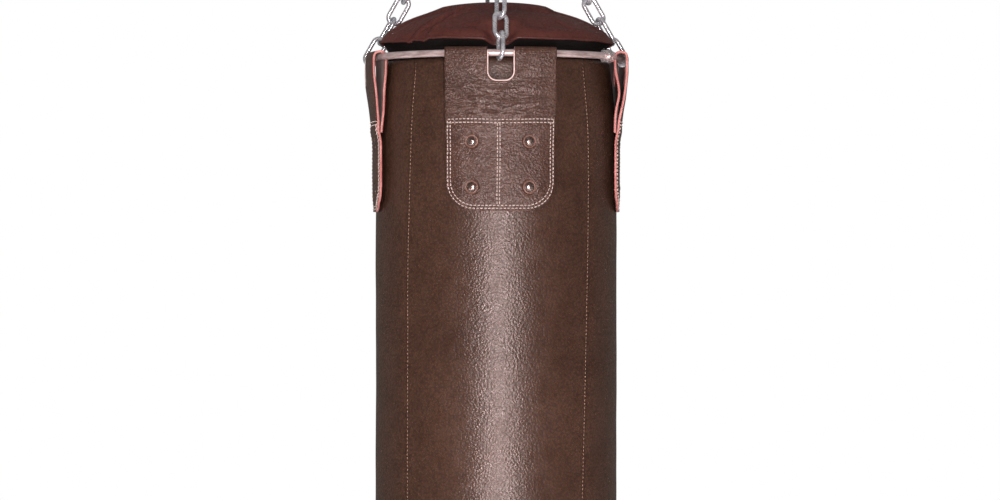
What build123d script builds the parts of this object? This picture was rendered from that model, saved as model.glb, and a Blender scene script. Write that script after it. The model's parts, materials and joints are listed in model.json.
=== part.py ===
from build123d import *
from math import cos, degrees, hypot, radians, sin, sqrt
import os

# Hanging leather heavy bag on a four-leg chain set, with a ball-bearing swivel.
# Units are mm. The origin is the centre of the swivel eye, +Z is up, the front of the bag is -Y.

# bag
BAG_R = 175.0
BAG_TOP_R = 165.0
BAG_DEPTH = 1209.0
LEATHER_T = 3.0
BOTTOM_EDGE_R = 20.0
FRONT_PANEL_ARC = 94.0
SIDE_PANEL_ARC = 86.0
PANEL_GAP_ARC = 0.16
# hoop of round bar that carries the bag, closed by two hex nuts
HOOP_Z = -422.7
HOOP_R = 182.0
HOOP_WIRE_R = 5.0
HOOP_JOINT_AZ = -31.0
NUT_AF = 17.0
NUT_T = 8.4
# chains of straight round-wire links
LINKS = 10
WIRE_R = 3.15
LINK_INNER = 35.0
LINK_BEND_R = 9.45
HOOP_GAP = 0.15
# master ring and swivel
RING_R = 28.0
RING_WIRE_R = 4.5
PIN_Z = -92.0
PIN_R = 5.0
RING_Z = PIN_Z + PIN_R + RING_WIRE_R + 0.3 - RING_R
EYE_BORE_R = 8.0
EYE_R = 18.0
EYE_T = 10.0
STEM_R = 6.0
# tabs that hang the bag on the hoop
TAB_T = 4.0
TAB_ARC = 50.4
TAB_SLOT_W = 38.0
TAB_SLOT_DEPTH = 40.0
TAB_BOTTOM = 222.0
TAB_INNER_END = 109.0
TAB_CORNER_R = 42.0
TAB_FACE_R = 179.4
RIVET_ARC = 13.2
RIVET_ROWS = (-124.5, -188.0)
RIVET_HOLE_R = 2.3
RIVET_HEAD_R = 6.0

os.makedirs("parts", exist_ok=True)

# name, azimuth, angle along the ring's lower arc, roll of link 1, twist per link, gap at the ring
SIDES = (
    ("front", -90.0, 12.0, 18.0, 8.0, 0.9),
    ("right", 0.0, 36.0, 26.0, -2.6, 0.5),
    ("back", 90.0, -12.0, 18.0, 8.0, 0.9),
    ("left", 180.0, -36.0, 18.0, -1.8, 0.5),
)


def polar(r, azimuth, z=0.0):
    """Point at a radius and azimuth, with z measured from the hoop plane."""
    return Vector(r * cos(radians(azimuth)), r * sin(radians(azimuth)), HOOP_Z + z)


def radial_plane(azimuth):
    """Plane whose x runs outward, y runs up, origin on the bag axis at the hoop plane."""
    a = radians(azimuth)
    return Plane(origin=(0, 0, HOOP_Z), x_dir=(cos(a), sin(a), 0), z_dir=(sin(a), -cos(a), 0))


def facing_plane(azimuth):
    """Plane seen from outside at an azimuth: x is tangential, y is up, z is outward."""
    a = radians(azimuth)
    return Plane(origin=(0, 0, HOOP_Z), x_dir=(-sin(a), cos(a), 0), z_dir=(cos(a), sin(a), 0))


def bag_radius(z):
    """Outside radius of the leather body at a height below the hoop plane."""
    rows = ((-9.0, BAG_TOP_R), (-40.0, 169.0), (-67.0, 171.8), (-110.0, 174.0), (-150.0, BAG_R))
    if z <= rows[-1][0]:
        return BAG_R
    for (z0, r0), (z1, r1) in zip(rows, rows[1:]):
        if z >= z1:
            return r0 + (r1 - r0) * (z0 - z) / (z0 - z1)
    return BAG_R


def strip(points, thickness):
    """Outline of a strap of even thickness that follows a centre line."""
    left = []
    right = []
    for i, (x, y) in enumerate(points):
        x0, y0 = points[max(i - 1, 0)]
        x1, y1 = points[min(i + 1, len(points) - 1)]
        length = hypot(x1 - x0, y1 - y0)
        nx = -(y1 - y0) / length * thickness / 2
        ny = (x1 - x0) / length * thickness / 2
        left.append((x + nx, y + ny))
        right.append((x - nx, y - ny))
    return left + right[::-1]


def chain_frame(azimuth, ring_angle):
    """Hoop point, ring point, unit direction up the chain and unit radial width direction."""
    a = radians(ring_angle)
    low = polar(HOOP_R, azimuth)
    high = Vector(RING_R * sin(a), 0, RING_Z - RING_R * cos(a))
    up = (high - low).normalized()
    tangent = Vector(-sin(radians(azimuth)), cos(radians(azimuth)), 0)
    width = up.cross(tangent).normalized()
    return low, high, up, width


def link_plane(centre, up, width, roll):
    """Plane of a link: x across the link, y along it."""
    side = up.cross(width)
    x_dir = width * cos(radians(roll)) + side * sin(radians(roll))
    return Plane(origin=centre, x_dir=x_dir, z_dir=x_dir.cross(up))


def add_link(plane):
    """One straight round-wire link swept round its oval path."""
    half = LINK_INNER / 2 + WIRE_R - LINK_BEND_R
    b = LINK_BEND_R
    with BuildLine(plane) as path:
        Line((b, -half), (b, half))
        ThreePointArc((b, half), (0, half + b), (-b, half))
        Line((-b, half), (-b, -half))
        ThreePointArc((-b, -half), (0, -half - b), (b, -half))
    start = plane.from_local_coords(Vector(b, -half, 0))
    with BuildSketch(Plane(origin=start, x_dir=plane.x_dir, z_dir=plane.y_dir)) as wire:
        Circle(WIRE_R)
    sweep(wire.sketch, path=path.wires()[0])


# ---------------------------------------------------------------- swivel, fixed half
with BuildPart() as swivel_eye:
    with BuildSketch(Plane.YZ):
        Circle(EYE_R)
    extrude(amount=EYE_T / 2, both=True)
    fillet(swivel_eye.edges().filter_by(GeomType.CIRCLE), radius=2.5)
    with Locations((0, 0, -35.5)):
        Cylinder(STEM_R, 41.0)
    with Locations((0, 0, -21.5)):
        Cylinder(9.0, 5.0)
    Cylinder(EYE_BORE_R, EYE_T + 2, rotation=(0, 90, 0), mode=Mode.SUBTRACT)
swivel_eye.part.label = "swivel_eye"
export_step(swivel_eye.part, "parts/swivel_eye.step")

with BuildPart() as stem_nut:
    with BuildSketch(Plane.XY.offset(-54.0)):
        RegularPolygon(radius=9.5, side_count=6, major_radius=False)
        Circle(STEM_R, mode=Mode.SUBTRACT)
    extrude(amount=10.0)
stem_nut.part.label = "stem_nut"
export_step(stem_nut.part, "parts/stem_nut.step")

with BuildPart() as lower_race:
    with BuildSketch(Plane.XY.offset(-44.0)):
        Circle(14.0)
        Circle(STEM_R, mode=Mode.SUBTRACT)
    extrude(amount=2.45)
lower_race.part.label = "lower_race"
export_step(lower_race.part, "parts/lower_race.step")

# ---------------------------------------------------------------- swivel, turning half
with BuildPart() as swivel_housing:
    with BuildSketch(Plane.XZ):
        with BuildLine():
            Polyline((6.06, -28), (14, -28), (19, -33), (19, -66), (15, -66), (15, -34), (6.06, -34), close=True)
        make_face()
    revolve(axis=Axis.Z)
swivel_housing.part.label = "swivel_housing"
export_step(swivel_housing.part, "parts/swivel_housing.step")

with BuildPart() as upper_race:
    with BuildSketch(Plane.XY.offset(-36.5)):
        Circle(14.5)
        Circle(6.4, mode=Mode.SUBTRACT)
    extrude(amount=2.5)
upper_race.part.label = "upper_race"
export_step(upper_race.part, "parts/upper_race.step")

with BuildPart() as bearing_balls:
    with Locations((0, 0, -39.0)):
        with PolarLocations(10.5, 10):
            Sphere(2.5)
bearing_balls.part.label = "bearing_balls"
export_step(bearing_balls.part, "parts/bearing_balls.step")

with BuildPart() as swivel_clevis:
    with Locations((0, 0, -63.0)):
        Cylinder(15.0, 6.0)
    with Locations((0, 0, -69.0)):
        Cylinder(16.0, 6.0)
    for y in (-9.0, 9.0):
        with BuildSketch(Plane.XZ.offset(-y)):
            with Locations((0, (PIN_Z - 71.0) / 2)):
                Rectangle(20.0, -71.0 - PIN_Z)
            with Locations((0, PIN_Z)):
                Circle(10.0)
        extrude(amount=3.0, both=True)
    with Locations((0, 0, PIN_Z)):
        Cylinder(PIN_R, 40.0, rotation=(90, 0, 0), mode=Mode.SUBTRACT)
swivel_clevis.part.label = "swivel_clevis"
export_step(swivel_clevis.part, "parts/swivel_clevis.step")

with BuildPart() as clevis_pin:
    with Locations((0, 1.0, PIN_Z)):
        Cylinder(PIN_R, 34.0, rotation=(90, 0, 0))
    with Locations((0, -14.0, PIN_Z)):
        Cylinder(8.0, 4.0, rotation=(90, 0, 0))
    with Locations((0, 14.8, PIN_Z)):
        Cylinder(1.3, 20.0, mode=Mode.SUBTRACT)
clevis_pin.part.label = "clevis_pin"
export_step(clevis_pin.part, "parts/clevis_pin.step")

with BuildPart() as split_pin:
    with Locations((0, 14.8, PIN_Z - 1.0)):
        Cylinder(1.3, 18.0)
    with Locations((0, 14.8, PIN_Z + 10.6)):
        Torus(3.0, 1.2, rotation=(90, 0, 0))
split_pin.part.label = "split_pin"
export_step(split_pin.part, "parts/split_pin.step")

with BuildPart() as master_ring:
    with Locations((0, 0, RING_Z)):
        Torus(RING_R, RING_WIRE_R, rotation=(90, 0, 0))
master_ring.part.label = "master_ring"
export_step(master_ring.part, "parts/master_ring.step")

# ---------------------------------------------------------------- four chains
for side, azimuth, ring_angle, roll, twist, ring_gap in SIDES:
    low, high, up, width = chain_frame(azimuth, ring_angle)
    end = LINK_INNER / 2 + WIRE_R
    first = end - (HOOP_WIRE_R + WIRE_R + HOOP_GAP)
    last = (high - low).length - (end - (RING_WIRE_R + WIRE_R + ring_gap))
    pitch = (last - first) / (LINKS - 1)
    for n in range(5):
        with BuildPart() as link:
            centre = low + up * (first + pitch * n)
            add_link(link_plane(centre, up, width, roll + (90.0 + twist) * n))
        link.part.label = f"chain_{side}_link_{n + 1}"
        export_step(link.part, f"parts/chain_{side}_link_{n + 1}.step")
    with BuildPart() as upper_links:
        for n in range(5, LINKS):
            centre = low + up * (first + pitch * n)
            add_link(link_plane(centre, up, width, roll + (90.0 + twist) * n))
    upper_links.part.label = f"chain_{side}_upper_links"
    export_step(upper_links.part, f"parts/chain_{side}_upper_links.step")

# ---------------------------------------------------------------- hoop
with BuildPart() as hoop:
    with BuildSketch(radial_plane(HOOP_JOINT_AZ + 0.15)):
        with Locations((HOOP_R, 0)):
            Circle(HOOP_WIRE_R)
    revolve(axis=Axis.Z, revolution_arc=359.7)
hoop.part.label = "hoop"
export_step(hoop.part, "parts/hoop.step")

NUT_STEP_ARC = degrees((NUT_T + 0.6) / HOOP_R)
for n in range(2):
    nut_az = HOOP_JOINT_AZ + (n - 0.5) * NUT_STEP_ARC
    with BuildPart() as hoop_nut:
        with BuildSketch(radial_plane(nut_az)):
            with Locations((HOOP_R, 0)):
                RegularPolygon(radius=NUT_AF / 2, side_count=6, major_radius=False, rotation=30 * n)
                Circle(HOOP_WIRE_R + 0.1, mode=Mode.SUBTRACT)
        extrude(amount=NUT_T / 2, both=True)
    hoop_nut.part.label = f"hoop_nut_{n + 1}"
    export_step(hoop_nut.part, f"parts/hoop_nut_{n + 1}.step")

# ---------------------------------------------------------------- leather body
EDGE_Z = -BAG_DEPTH + BOTTOM_EDGE_R
RIM_ROWS = (-9.0, -40.0, -67.0, -110.0, -150.0)


def drill_rivets(azimuth):
    """Clearance holes for the four rivets of a tab, square to the curved leather."""
    for turn in (-RIVET_ARC, RIVET_ARC):
        with BuildSketch(facing_plane(azimuth + turn)) as holes:
            with Locations(*[(0, z) for z in RIVET_ROWS]):
                Circle(RIVET_HOLE_R)
        extrude(holes.sketch, amount=210.0, mode=Mode.SUBTRACT)


def add_panel(azimuth, arc):
    """One leather panel: tapered top, straight wall and turned-in bottom edge."""
    t = LEATHER_T
    edge = BAG_R - BOTTOM_EDGE_R
    diag = sqrt(0.5)
    with BuildSketch(radial_plane(azimuth - arc / 2)) as wall:
        with BuildLine():
            Polyline([(bag_radius(z), z) for z in RIM_ROWS] + [(BAG_R, EDGE_Z)])
            ThreePointArc(
                (BAG_R, EDGE_Z),
                (edge + BOTTOM_EDGE_R * diag, EDGE_Z - BOTTOM_EDGE_R * diag),
                (edge, -BAG_DEPTH),
            )
            Line((edge, -BAG_DEPTH), (edge, -BAG_DEPTH + t))
            ThreePointArc(
                (edge, -BAG_DEPTH + t),
                (edge + (BOTTOM_EDGE_R - t) * diag, EDGE_Z - (BOTTOM_EDGE_R - t) * diag),
                (BAG_R - t, EDGE_Z),
            )
            Polyline([(BAG_R - t, EDGE_Z)] + [(bag_radius(z) - t, z) for z in RIM_ROWS[::-1]])
            Line((BAG_TOP_R - t, -9.0), (BAG_TOP_R, -9.0))
        make_face()
    revolve(wall.sketch, axis=Axis.Z, revolution_arc=arc)
    drill_rivets(azimuth)


for side, azimuth, *rest in SIDES:
    panel_arc = FRONT_PANEL_ARC if side in ("front", "back") else SIDE_PANEL_ARC
    with BuildPart() as panel:
        add_panel(azimuth, panel_arc - PANEL_GAP_ARC)
    panel.part.label = f"panel_{side}"
    export_step(panel.part, f"parts/panel_{side}.step")

with BuildPart() as bottom_disc:
    with BuildSketch(Plane.XY.offset(HOOP_Z - BAG_DEPTH)):
        Circle(BAG_R - BOTTOM_EDGE_R - 0.4)
    extrude(amount=LEATHER_T)
bottom_disc.part.label = "bottom_disc"
export_step(bottom_disc.part, "parts/bottom_disc.step")

with BuildPart() as padding_sleeve:
    with BuildSketch(Plane.XZ):
        with BuildLine():
            Polyline(
                (151.0, HOOP_Z - 18.0),
                (160.2, HOOP_Z - 18.0),
                (163.6, HOOP_Z - 40.0),
                (168.6, HOOP_Z - 110.0),
                (169.8, HOOP_Z - 150.0),
                (169.8, HOOP_Z + EDGE_Z + 1.0),
                (151.0, HOOP_Z + EDGE_Z + 1.0),
                close=True,
            )
        make_face()
    revolve(axis=Axis.Z)
padding_sleeve.part.label = "padding_sleeve"
export_step(padding_sleeve.part, "parts/padding_sleeve.step")

with BuildPart() as filling:
    with BuildSketch(Plane.XZ):
        with BuildLine():
            Line((0, HOOP_Z - BAG_DEPTH + 3.8), (150.4, HOOP_Z - BAG_DEPTH + 3.8))
            Line((150.4, HOOP_Z - BAG_DEPTH + 3.8), (150.4, HOOP_Z - 22.0))
            Spline(
                (150.4, HOOP_Z - 22.0),
                (146.0, HOOP_Z),
                (133.0, HOOP_Z + 22.0),
                (104.0, HOOP_Z + 47.0),
                (60.0, HOOP_Z + 64.0),
                (0, HOOP_Z + 71.0),
                tangents=((0, 1), (-1, 0)),
            )
            Line((0, HOOP_Z + 71.0), (0, HOOP_Z - BAG_DEPTH + 3.8))
        make_face()
    revolve(axis=Axis.Z)
filling.part.label = "filling"
export_step(filling.part, "parts/filling.step")

# ---------------------------------------------------------------- lid and zip band
LID_R = 170.0
LID_BASE = 17.0
LID_RISE = 64.0
DENT_R = 14.0
DENT_SHIFT = -0.4


def add_dome(reach, rise, mode):
    """Solid dome: a flat base, a short upright rim, a round shoulder and a flatter crown."""
    base = LID_BASE
    rim = base + 3.0
    top = base + rise
    shoulder = (0.706 * reach, rim + 0.64 * (top - rim))
    with BuildSketch(radial_plane(45.0)) as dome:
        with BuildLine():
            ThreePointArc((0, top), (0.353 * reach, top - 0.248 * (top - shoulder[1])), shoulder)
            ThreePointArc(shoulder, (0.882 * reach, rim + 0.375 * (top - rim)), (reach, rim))
            Polyline((reach, rim), (reach, base), (0, base), (0, top))
        make_face()
    revolve(dome.sketch, axis=Axis.Z, mode=mode)


def add_dents(radius, mode):
    """Channels pressed into the lid by the lowest link of each chain."""
    for side, azimuth, ring_angle, *rest in SIDES:
        low, high, up, width = chain_frame(azimuth, ring_angle)
        outward = width.dot(polar(1.0, azimuth) - polar(0.0, azimuth))
        inward = width if outward < 0 else width * -1
        start = low + inward * DENT_SHIFT - up * 25.0
        with BuildSketch(Plane(origin=start, x_dir=width, z_dir=up)) as channel:
            Circle(radius)
        extrude(channel.sketch, amount=95.0, mode=mode)


with BuildPart() as lid_inside:
    add_dome(LID_R - LEATHER_T, LID_RISE - LEATHER_T, Mode.ADD)
    add_dents(DENT_R + LEATHER_T, Mode.SUBTRACT)

with BuildPart() as lid:
    add_dome(LID_R, LID_RISE, Mode.ADD)
    add_dents(DENT_R, Mode.SUBTRACT)
    add(lid_inside.part, mode=Mode.SUBTRACT)
lid.part.label = "lid"
export_step(lid.part, "parts/lid.step")

BAND_R = 157.5
with BuildPart() as zip_band:
    with BuildSketch(Plane.XY.offset(HOOP_Z - 16.0)):
        Circle(BAND_R)
        Circle(BAND_R - 2.0, mode=Mode.SUBTRACT)
    extrude(amount=32.4)
zip_band.part.label = "zip_band"
export_step(zip_band.part, "parts/zip_band.step")

SLIDER_AZ = 130.0
SLIDER_ARC = 4.2
PULLER_R = 161.6
PULLER_ARC = 7.0
with BuildPart() as zip_slider:
    with BuildSketch(radial_plane(SLIDER_AZ - SLIDER_ARC)):
        with Locations((BAND_R + 1.5, 1.5)):
            Rectangle(2.6, 9.0)
    revolve(axis=Axis.Z, revolution_arc=SLIDER_ARC)
    with BuildSketch(radial_plane(SLIDER_AZ - SLIDER_ARC / 2)):
        for z in (-1.9, 4.9):
            with Locations((BAND_R + 3.9, z)):
                Rectangle(3.2, 2.2)
    extrude(amount=2.0, both=True)
zip_slider.part.label = "zip_slider"
export_step(zip_slider.part, "parts/zip_slider.step")

with BuildPart() as zip_puller:
    with BuildSketch(radial_plane(SLIDER_AZ - SLIDER_ARC / 2)):
        with Locations((PULLER_R, 1.5)):
            Rectangle(1.4, 4.0)
    revolve(axis=Axis.Z, revolution_arc=PULLER_ARC)
    with BuildSketch(radial_plane(SLIDER_AZ - SLIDER_ARC / 2 + 3.0)):
        with Locations((PULLER_R, 1.5)):
            Rectangle(1.4, 8.0)
    revolve(axis=Axis.Z, revolution_arc=PULLER_ARC - 3.0)
zip_puller.part.label = "zip_puller"
export_step(zip_puller.part, "parts/zip_puller.step")

# ---------------------------------------------------------------- tabs and rivets
FOLD_R = HOOP_WIRE_R + 0.3
LEAF = FOLD_R + TAB_T / 2
OUTER_LEAF = (
    (HOOP_R + LEAF, 0.0),
    (188.6, -30.0),
    (184.6, -64.0),
    (180.2, -90.0),
    (180.8, -110.0),
    (179.0, -114.0),
    (177.4, -117.5),
    (177.4, -TAB_BOTTOM),
)
INNER_LEAF = (
    (HOOP_R - LEAF, 0.0),
    (174.5, -40.0),
    (174.9, -67.0),
    (175.8, -90.0),
    (176.5, -TAB_INNER_END),
)


def add_tab(azimuth):
    """Strap folded over the hoop, with a slot for the chain and rounded lower corners."""
    with BuildSketch(radial_plane(azimuth - TAB_ARC / 2)) as strap:
        with Locations((HOOP_R, 0)):
            Circle(FOLD_R + TAB_T)
            Circle(FOLD_R, mode=Mode.SUBTRACT)
        with Locations((HOOP_R, -20.0)):
            Rectangle(40.0, 40.0, mode=Mode.SUBTRACT)
        for leaf in (OUTER_LEAF, INNER_LEAF):
            with BuildLine():
                Polyline(strip(leaf, TAB_T), close=True)
            make_face()
    revolve(strap.sketch, axis=Axis.Z, revolution_arc=TAB_ARC)
    half = (HOOP_R - 4.0) * sin(radians(TAB_ARC / 2))
    corner = TAB_CORNER_R
    with BuildSketch(facing_plane(azimuth)) as cuts:
        RectangleRounded(TAB_SLOT_W, 2 * TAB_SLOT_DEPTH, 13.0)
        for x in (-1, 1):
            with Locations((x * (half - corner / 2 + 3.0), corner / 2 - 3.0 - TAB_BOTTOM)):
                Rectangle(corner + 6.0, corner + 6.0)
            with Locations((x * (half - corner), corner - TAB_BOTTOM)):
                Circle(corner, mode=Mode.SUBTRACT)
    extrude(cuts.sketch, amount=210.0, mode=Mode.SUBTRACT)
    drill_rivets(azimuth)


def add_post(azimuth, z, start, radius, length):
    """Round post along a radius of the bag, starting at a distance from its axis."""
    with BuildSketch(facing_plane(azimuth).offset(start)) as section:
        with Locations((0, z)):
            Circle(radius)
    extrude(section.sketch, amount=length)


def add_rivet(azimuth, z):
    """Domed rivet: head outside, shank through the leather, flat burr inside."""
    inside = bag_radius(z) - LEATHER_T - 0.2
    head = TAB_FACE_R + 0.05
    add_post(azimuth, z, inside - 1.2, 4.5, 1.2)
    add_post(azimuth, z, inside - 1.2, 2.0, head + 1.4 - inside)
    add_post(azimuth, z, head, RIVET_HEAD_R, 2.8)


for side, azimuth, *rest in SIDES:
    with BuildPart() as tab:
        add_tab(azimuth)
    tab.part.label = f"tab_{side}"
    export_step(tab.part, f"parts/tab_{side}.step")

for side, azimuth, *rest in SIDES:
    with BuildPart() as rivets:
        for turn in (-RIVET_ARC, RIVET_ARC):
            for z in RIVET_ROWS:
                add_rivet(azimuth + turn, z)
        rims = rivets.edges().filter_by(GeomType.CIRCLE)
        domes = [e for e in rims if e.radius > 5.9 and hypot(e.arc_center.X, e.arc_center.Y) > TAB_FACE_R + 2]
        fillet(domes, radius=2.4)
    rivets.part.label = f"rivets_{side}"
    export_step(rivets.part, f"parts/rivets_{side}.step")
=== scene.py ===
import bmesh
import bpy
import json
from bisect import bisect_right
from math import cos, degrees, exp, hypot, pi, radians, sin
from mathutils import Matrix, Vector, noise


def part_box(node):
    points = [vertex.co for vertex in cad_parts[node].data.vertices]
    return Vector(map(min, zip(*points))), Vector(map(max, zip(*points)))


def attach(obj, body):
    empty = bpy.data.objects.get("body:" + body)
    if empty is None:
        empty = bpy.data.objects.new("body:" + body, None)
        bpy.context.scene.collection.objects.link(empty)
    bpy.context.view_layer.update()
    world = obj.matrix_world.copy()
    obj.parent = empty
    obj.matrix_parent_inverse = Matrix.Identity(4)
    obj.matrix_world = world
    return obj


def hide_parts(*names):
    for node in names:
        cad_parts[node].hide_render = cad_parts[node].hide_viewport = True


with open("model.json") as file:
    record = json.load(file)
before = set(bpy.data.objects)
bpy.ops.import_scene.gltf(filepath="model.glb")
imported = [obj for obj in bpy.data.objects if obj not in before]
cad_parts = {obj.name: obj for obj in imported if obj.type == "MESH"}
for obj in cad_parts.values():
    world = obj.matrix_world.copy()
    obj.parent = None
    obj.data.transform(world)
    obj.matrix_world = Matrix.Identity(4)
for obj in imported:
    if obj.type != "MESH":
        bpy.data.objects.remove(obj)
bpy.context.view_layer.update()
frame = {"nodes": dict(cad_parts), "record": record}

MM = 0.001
hoop_low, hoop_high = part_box("hoop")
HOOP_Z = (hoop_low.z + hoop_high.z) / 2          # height of the hoop's plane
BAG_R = -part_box("panel_front")[0].y
BOTTOM_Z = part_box("bottom_disc")[0].z
LID_TOP = (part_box("lid")[1].z - HOOP_Z) / MM   # above the hoop, in mm
STITCH_PITCH = 5.5 * MM
SKIN = 2.6 * MM                                  # lid and bottom leather
AZ = {"front": -90.0, "right": 0.0, "back": 90.0, "left": 180.0}


def smooth(a, b, x):
    """0 below a, 1 above b, smooth between."""
    t = min(1.0, max(0.0, (x - a) / (b - a)))
    return t * t * (3 - 2 * t)


def wave(x, y, z, size, seed=0.0):
    """Smooth noise between about -1 and 1 with a given feature size in metres."""
    return noise.noise(Vector((x / size + seed, y / size + 7.3 * seed, z / size - 3.1 * seed)))


# ------------------------------------------------------------------ materials
def node(tree, kind, links=(), **values):
    """One shader node with its links; in_Name sets an input, other values are settings."""
    n = tree.nodes.new(kind)
    for key, value in values.items():
        if key.startswith("in_"):
            n.inputs[key[3:]].default_value = value
        else:
            setattr(n, key, value)
    for name, source in dict(links).items():
        tree.links.new(source, n.inputs[name])
    return n


def ramp(tree, source, *stops):
    """Colour ramp through (place, colour) stops."""
    n = tree.nodes.new("ShaderNodeValToRGB")
    tree.links.new(source, n.inputs[0])
    while len(n.color_ramp.elements) < len(stops):
        n.color_ramp.elements.new(0.5)
    for e, (place, colour) in zip(n.color_ramp.elements, stops):
        e.position = place
        e.color = (*colour, 1)
    return n.outputs[0]


def grey(v):
    return (v, v, v)


def span(tree, source, low, high, to_low, to_high):
    """Maps low..high to to_low..to_high, clamped."""
    n = node(tree, "ShaderNodeMapRange", {0: source})
    for i, v in enumerate((low, high, to_low, to_high), 1):
        n.inputs[i].default_value = v
    return n.outputs[0]


def mix(tree, factor, a, b, blend="MIX"):
    """Mixes two colours; each is a socket or a colour."""
    n = tree.nodes.new("ShaderNodeMix")
    n.data_type = "RGBA"
    n.blend_type = blend
    for socket, value in ((n.inputs[0], factor), (n.inputs[6], a), (n.inputs[7], b)):
        if hasattr(value, "links"):
            tree.links.new(value, socket)
        elif isinstance(value, (int, float)):
            socket.default_value = value
        else:
            socket.default_value = (*value, 1)
    return n.outputs[2]


def maths(tree, op, a, b=0.0):
    n = tree.nodes.new("ShaderNodeMath")
    n.operation = op
    for socket, value in zip(n.inputs, (a, b)):
        if hasattr(value, "links"):
            tree.links.new(value, socket)
        else:
            socket.default_value = value
    return n.outputs[0]


def material(name):
    m = bpy.data.materials.new(name)
    m.use_nodes = True
    tree = m.node_tree
    bsdf = tree.nodes["Principled BSDF"]
    place = tree.nodes.new("ShaderNodeTexCoord").outputs["Object"]
    return m, tree, bsdf, place


def noise_tex(tree, place, scale, detail=4.0, rough=0.55, distortion=0.0):
    n = node(tree, "ShaderNodeTexNoise", {"Vector": place}, in_Scale=scale, in_Detail=detail,
             in_Roughness=rough, in_Distortion=distortion)
    return n.outputs[0]


def bump(tree, height, strength, distance, under=None):
    n = node(tree, "ShaderNodeBump", {"Height": height}, in_Strength=strength, in_Distance=distance)
    if under:
        tree.links.new(under, n.inputs["Normal"])
    return n.outputs[0]


def leather(name, dark, base, light, rough, grain, depth, wrinkles=0.0, band=None, uneven=0.0009):
    """Pebbled leather: cell grain, blotches, fine pores, optional drawn wrinkles in a height band."""
    m, tree, bsdf, place = material(name)
    cells = node(tree, "ShaderNodeTexVoronoi", {"Vector": place}, feature="SMOOTH_F1", in_Scale=grain,
                 in_Smoothness=0.35)
    small = node(tree, "ShaderNodeTexVoronoi", {"Vector": place}, feature="F1", in_Scale=grain * 2.3)
    pores = noise_tex(tree, place, grain * 3.5, 3.0)
    blotch = noise_tex(tree, place, 9.0, 7.0, 0.6, 0.4)
    patch = noise_tex(tree, place, 42.0, 5.0, 0.62)
    tint = ramp(tree, blotch, (0.28, dark), (0.52, base), (0.78, light))
    tint = mix(tree, 0.34, tint, ramp(tree, patch, (0.3, dark), (0.7, light)))
    # darker grain valleys: partly the grain's own colour, partly painted shade in its recesses
    crease = span(tree, cells.outputs["Distance"], 0.25, 0.75, 0.0, 0.45)
    tint = mix(tree, crease, tint, dark, "MULTIPLY" if depth > 0.0006 else "MIX")
    tree.links.new(tint, bsdf.inputs["Base Color"])
    wear = maths(tree, "ADD", span(tree, patch, 0.3, 0.7, rough - 0.05, rough + 0.06),
                 span(tree, cells.outputs["Distance"], 0.2, 0.8, -0.02, 0.10))
    tree.links.new(wear, bsdf.inputs["Roughness"])
    bsdf.inputs["Specular IOR Level"].default_value = 0.5
    n = bump(tree, noise_tex(tree, place, 26.0, 4.0, 0.5), 0.5, uneven)
    if wrinkles:
        stretch = node(tree, "ShaderNodeMapping", {"Vector": place})
        stretch.inputs["Scale"].default_value = (1.0, 1.0, 4.6)
        folds = noise_tex(tree, stretch.outputs[0], 34.0, 4.0, 0.55, 0.8)
        ridge = maths(tree, "ABSOLUTE", maths(tree, "SUBTRACT", folds, 0.5))
        ridge = span(tree, ridge, 0.0, 0.05, 0.0, 1.0)
        if band:
            z = node(tree, "ShaderNodeSeparateXYZ", {0: place}).outputs[2]
            low = span(tree, z, band[0] - 0.012, band[0] + 0.006, 0.0, 1.0)
            high = span(tree, z, band[1] - 0.012, band[1] + 0.02, 1.0, 0.22)
            mask = maths(tree, "MULTIPLY", low, high)
            ridge = maths(tree, "MULTIPLY", ridge, span(tree, mask, 0.0, 1.0, 0.25, 1.0))
        n = bump(tree, ridge, wrinkles, 0.0018, n)
    height = maths(tree, "ADD", cells.outputs["Distance"],
                   maths(tree, "MULTIPLY", small.outputs["Distance"], 0.35))
    n = bump(tree, height, 0.62, -depth, n)
    n = bump(tree, pores, 0.35, depth * 0.35, n)
    tree.links.new(n, bsdf.inputs["Normal"])
    return m


def metal(name, base, light, rough, scratch, spots, stretch=(1, 1, 1), plated=1.0):
    """Plated or worn metal: tone patches, scratches and uneven polish."""
    m, tree, bsdf, place = material(name)
    bsdf.inputs["Metallic"].default_value = plated
    shape = node(tree, "ShaderNodeMapping", {"Vector": place})
    shape.inputs["Scale"].default_value = stretch
    tone = noise_tex(tree, shape.outputs[0], spots, 6.0, 0.65)
    fine = noise_tex(tree, place, 900.0, 3.0, 0.6)
    line = noise_tex(tree, shape.outputs[0], 420.0, 5.0, 0.7)
    tree.links.new(ramp(tree, tone, (0.32, base), (0.62, light)), bsdf.inputs["Base Color"])
    r = maths(tree, "ADD", span(tree, line, 0.35, 0.65, rough - 0.04, rough + 0.05),
              span(tree, tone, 0.3, 0.7, -0.03, 0.06))
    tree.links.new(r, bsdf.inputs["Roughness"])
    n = bump(tree, line, scratch, 0.0002)
    tree.links.new(bump(tree, fine, scratch * 0.6, 0.0001, n), bsdf.inputs["Normal"])
    return m


def thread(name, base, light):
    """Twisted sewing thread."""
    m, tree, bsdf, place = material(name)
    twist = node(tree, "ShaderNodeTexWave", {"Vector": place}, in_Scale=900.0, in_Distortion=2.0)
    tone = noise_tex(tree, place, 160.0, 4.0)
    tree.links.new(ramp(tree, tone, (0.3, base), (0.7, light)), bsdf.inputs["Base Color"])
    bsdf.inputs["Roughness"].default_value = 0.62
    bsdf.inputs["Sheen Weight"].default_value = 0.3
    tree.links.new(bump(tree, twist.outputs[1], 0.5, 0.0002), bsdf.inputs["Normal"])
    return m


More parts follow.
